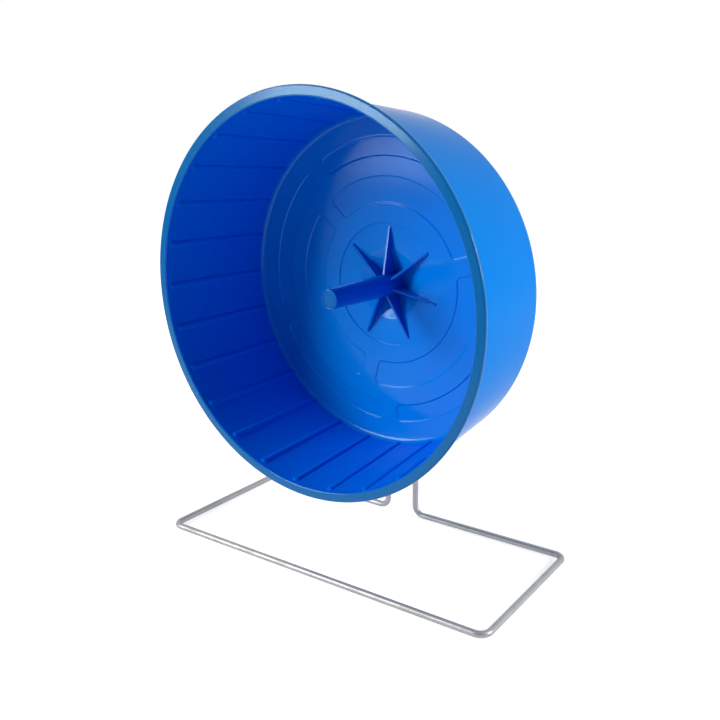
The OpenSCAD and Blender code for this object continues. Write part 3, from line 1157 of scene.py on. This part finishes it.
@dataclass
class WireStand:
    """The bent wire: floor loop, uprights and arch. Sizes in millimetres."""

    finishes: Finishes
    wire_r: float = 2.5
    bend_r: float = 8.0
    loop_w: float = 293.0
    front_y: float = -66.0541
    back_y: float = 63.0541
    axle_x: float = -4.5
    upright_gap: float = 28.0
    arch_z: float = 193.08
    section: int = 32
    bend_steps: int = 14

    def build(self) -> None:
        """Builds the wire's straight runs, bends and arch."""
        left, right = -self.loop_w / 2.0, self.loop_w / 2.0
        low, high = self.front_y, self.back_y
        feet = (self.axle_x - self.upright_gap / 2.0, self.axle_x + self.upright_gap / 2.0)
        b, z = self.bend_r, self.wire_r
        for node, start, end in (
            ("front_wire", (left + b, low, z), (right - b, low, z)),
            ("left_side_wire", (left, low + b, z), (left, high - b, z)),
            ("right_side_wire", (right, low + b, z), (right, high - b, z)),
            ("back_left_wire", (left + b, high, z), (feet[0] - b, high, z)),
            ("back_right_wire", (feet[1] + b, high, z), (right - b, high, z)),
            ("left_upright", (feet[0], high, z + b), (feet[0], high, self.arch_z)),
            ("right_upright", (feet[1], high, z + b), (feet[1], high, self.arch_z)),
        ):
            self._run(node, start, end)
        ahead = (0.0, -1.0, 0.0)
        for node, centre, start, axis in (
            ("front_left_bend", (left + b, low + b, z), (-1.0, 0.0, 0.0), UP),
            ("front_right_bend", (right - b, low + b, z), ahead, UP),
            ("back_left_bend", (left + b, high - b, z), BACK, UP),
            ("back_right_bend", (right - b, high - b, z), (1.0, 0.0, 0.0), UP),
            ("left_foot_bend", (feet[0] - b, high, z + b), (0.0, 0.0, -1.0), ahead),
            ("right_foot_bend", (feet[1] + b, high, z + b), (-1.0, 0.0, 0.0), ahead),
        ):
            self._bend(node, centre, start, axis, 90.0, b)
        arch = (self.axle_x, high, self.arch_z)
        self._bend("top_arch", arch, (1.0, 0.0, 0.0), ahead, 180.0, self.upright_gap / 2.0)

    def _piece(self, bm: Mesh, node: str) -> None:
        """Closes a stretch of wire and finishes it as the piece that stands for a solid."""
        close_ends(bm)
        finished(bm, node + "_drawn", Body.STAND, self.finishes.wire, (node,))

    def _ring(self, bm: Mesh, centre: Vector, along: Vector) -> list[Vert]:
        """Adds the wire's round section, open, square to a direction.

        Args:
            bm: The mesh that takes the section.
            centre: The section's centre in metres.
            along: Direction of the wire.

        Returns:
            The section's points.
        """
        turn = along.to_track_quat("Z", "Y").to_matrix().to_4x4()
        made = bmesh.ops.create_circle(
            bm, cap_ends=False, segments=self.section, radius=self.wire_r * MM,
            matrix=Matrix.Translation(centre) @ turn,
        )
        return made["verts"]

    def _run(self, node: str, start: Point, end: Point) -> None:
        """Builds a straight run of wire.

        Args:
            node: The solid that the run stands for.
            start: Where the wire's centre line starts, in millimetres.
            end: Where it ends.
        """
        first, last = Vector(start) * MM, Vector(end) * MM
        bm = bmesh.new()
        self._ring(bm, first, last - first)
        verts = drawn_out(bmesh.ops.extrude_edge_only(bm, edges=bm.edges[:]), Vert)
        bmesh.ops.translate(bm, verts=verts, vec=last - first)
        self._piece(bm, node)

    def _bend(self, node: str, centre: Point, start: Point, axis: Point, angle: float, radius: float) -> None:
        """Builds a bend by spinning the wire's section.

        Args:
            node: The solid that the bend stands for.
            centre: The bend's centre in millimetres.
            start: Direction from the centre to the bend's start.
            axis: Axis the bend turns about.
            angle: Angle of the bend in degrees.
            radius: Radius of the wire's centre line in millimetres.
        """
        bm = bmesh.new()
        middle, out, about = Vector(centre) * MM, Vector(start), Vector(axis)
        verts = self._ring(bm, middle + out * radius * MM, about.cross(out))
        bmesh.ops.spin(
            bm, geom=verts + bm.edges[:], cent=middle, axis=about, dvec=NOWHERE,
            angle=math.radians(angle), steps=round(self.bend_steps * angle / 90.0), use_merge=False,
            use_normal_flip=False, use_duplicate=False,
        )
        self._piece(bm, node)


@dataclass(frozen=True)
class Lamp:
    """A square or long soft light: its place, aim and size in metres, and its power in watts."""

    name: str
    place: Point
    target: Point
    width: float
    height: float
    power: float

    def build(self) -> None:
        """Adds the light."""
        light = bpy.data.lights.new(self.name, "AREA")
        light.shape = "RECTANGLE"
        light.size, light.size_y = self.width, self.height
        light.energy = self.power
        lamp = placed(self.name, light)
        lamp.location = self.place
        lamp.rotation_mode = "QUATERNION"
        lamp.rotation_quaternion = (Vector(self.target) - Vector(self.place)).to_track_quat("-Z", "Y")


@dataclass
class Studio:
    """Pale floor, soft lights and the camera at the photograph's angle."""

    camera_at: Point = (0.3585, -0.4820, 0.3141)
    yaw: float = 33.92
    pitch: float = 18.25
    lens: float = 41.435
    shift: tuple[float, float] = (-0.0533, 0.0622)
    sensor: float = 36.0
    clip: tuple[float, float] = (0.01, 50.0)
    floor_half: float = 8.0
    floor_drop: float = 0.0002
    floor_rough: float = 0.9
    floor_colour: Colour = (0.80, 0.80, 0.80)
    floor_glow: Span = Span(0.45, 1.1, 0.70, 1.0)
    ambient: float = 0.07
    dim: float = 0.10
    floor_dim: tuple[float, float] = (-0.75, -0.38)
    sky_dim: tuple[float, float] = (-0.45, 0.10)
    lamps: tuple[Lamp, ...] = (
        Lamp("key", (-1.2, -1.65, 0.5), (0.0, -0.06, 0.2), 0.44, 0.44, 10.0),
        Lamp("glint", (-0.98, -1.40, 0.12), (0.0, 0.04, 0.25), 0.12, 0.12, 0.3),
        Lamp("side", (1.55, 0.35, 0.75), (0.0, 0.0, 0.2), 0.6, 0.6, 22.0),
        Lamp("top", (-1.05, -1.2, 0.98), (0.0, 0.0, 0.2), 0.8, 0.6, 18.5),
    )

    def build(self) -> None:
        """Builds floor, world, lights and camera."""
        self._floor()
        self._world()
        for lamp in self.lamps:
            lamp.build()
        self._camera()

    def _level(self, graph: Graph, where: Socket, limits: tuple[float, float]) -> Socket:
        """Gives how bright mirror rays find the studio, which is dim on the camera's side.

        Args:
            graph: The node tree.
            where: Coordinates, whose Y runs from the camera's side to the back.
            limits: The Y below which it is dimmest, and the Y above which it is full.

        Returns:
            The brightness from the dimmest level to 1.
        """
        along = graph.node("ShaderNodeSeparateXYZ", where).outputs["Y"]
        return graph.ranged(along, Span(*limits, self.dim, 1.0))

    @staticmethod
    def _seen(graph: Graph, level: Socket) -> Socket:
        """Gives how much of the studio's own light a ray finds.

        Args:
            graph: The node tree.
            level: The share that mirror and glass rays find.

        Returns:
            1 for rays from the camera, the given level for mirror and glass rays, and 0 for others.
        """
        path = graph.node("ShaderNodeLightPath").outputs
        mirrored = graph.maths("MAXIMUM", path["Is Glossy Ray"], path["Is Transmission Ray"])
        return graph.maths("MAXIMUM", path["Is Camera Ray"], graph.maths("MULTIPLY", mirrored, level))

    def _floor(self) -> None:
        """Lays a white floor whose unshaded part reads as the white background."""
        bm = bmesh.new()
        bmesh.ops.create_grid(bm, x_segments=2, y_segments=2, size=self.floor_half)
        floor = placed("floor", as_mesh(bm, "floor"))
        floor.location = (0.0, 0.0, -self.floor_drop)
        shader = Shader("pale_floor")
        glow = shader.ranged(shader.maths("LENGTH", shader.position, vectors=True), self.floor_glow)
        level = self._level(shader, shader.position, self.floor_dim)
        direct = shader.maths("SUBTRACT", 1.0, shader.node("ShaderNodeLightPath").outputs["Is Glossy Ray"])
        dimmed = (self.dim, self.dim, self.dim)
        shade = shader.mixed(shader.maths("MAXIMUM", direct, level), dimmed, self.floor_colour)
        shader.give("Base Color", shade)
        shader.give("Roughness", self.floor_rough)
        shader.give("Specular IOR Level", 0.0)
        shader.give("Emission Color", WHITE)
        shader.give("Emission Strength", shader.maths("MULTIPLY", self._seen(shader, level), glow))
        floor.data.materials.append(shader.material)

    def _world(self) -> None:
        """Gives an even pale surround that the camera sees as white."""
        world = bpy.data.worlds.new("studio")
        bpy.context.scene.world = world
        world.use_nodes = True
        graph = Graph(world.node_tree)
        background = graph.tree.nodes["Background"].inputs
        place = graph.node("ShaderNodeTexCoord").outputs["Generated"]
        seen = self._seen(graph, self._level(graph, place, self.sky_dim))
        graph.feed(background["Color"], WHITE)
        graph.feed(background["Strength"], graph.ranged(seen, Span(0.0, 1.0, self.ambient, 1.0)))

    def _camera(self) -> None:
        """Sets the camera where the photograph's was."""
        yaw, pitch = math.radians(self.yaw), math.radians(self.pitch)
        right = Vector((math.cos(yaw), math.sin(yaw), 0.0))
        ahead = Vector((-math.sin(yaw) * math.cos(pitch), math.cos(yaw) * math.cos(pitch), -math.sin(pitch)))
        above = right.cross(ahead)
        data = bpy.data.cameras.new("camera")
        data.lens = self.lens
        data.sensor_width = self.sensor
        data.shift_x, data.shift_y = self.shift
        data.clip_start, data.clip_end = self.clip
        camera = placed("camera", data)
        turn = Matrix((right, above, -ahead)).transposed().to_4x4()
        camera.matrix_world = Matrix.Translation(Vector(self.camera_at)) @ turn
        bpy.context.scene.camera = camera


def main() -> None:
    """Builds the whole part and the studio round it."""
    logging.basicConfig(level=logging.INFO, format="%(name)s %(message)s")
    space, sizes = WheelSpace(), DrumSizes()
    # the running wall's middle, where the painted shade inside gives way to the plain blue outside
    middle = (sizes.mouth_r + sizes.wall_skin / 2.0) * MM
    finishes = Finishes(space.centre, (middle, sizes.taper.fall))
    Studio().build()
    RunningDrum(space, sizes, finishes).build()
    Hub(space, sizes, finishes).build()
    AxleFittings(finishes).build()
    WireStand(finishes).build()
    bpy.context.scene.view_settings.view_transform = "Standard"


if __name__ == "__main__":
    main()
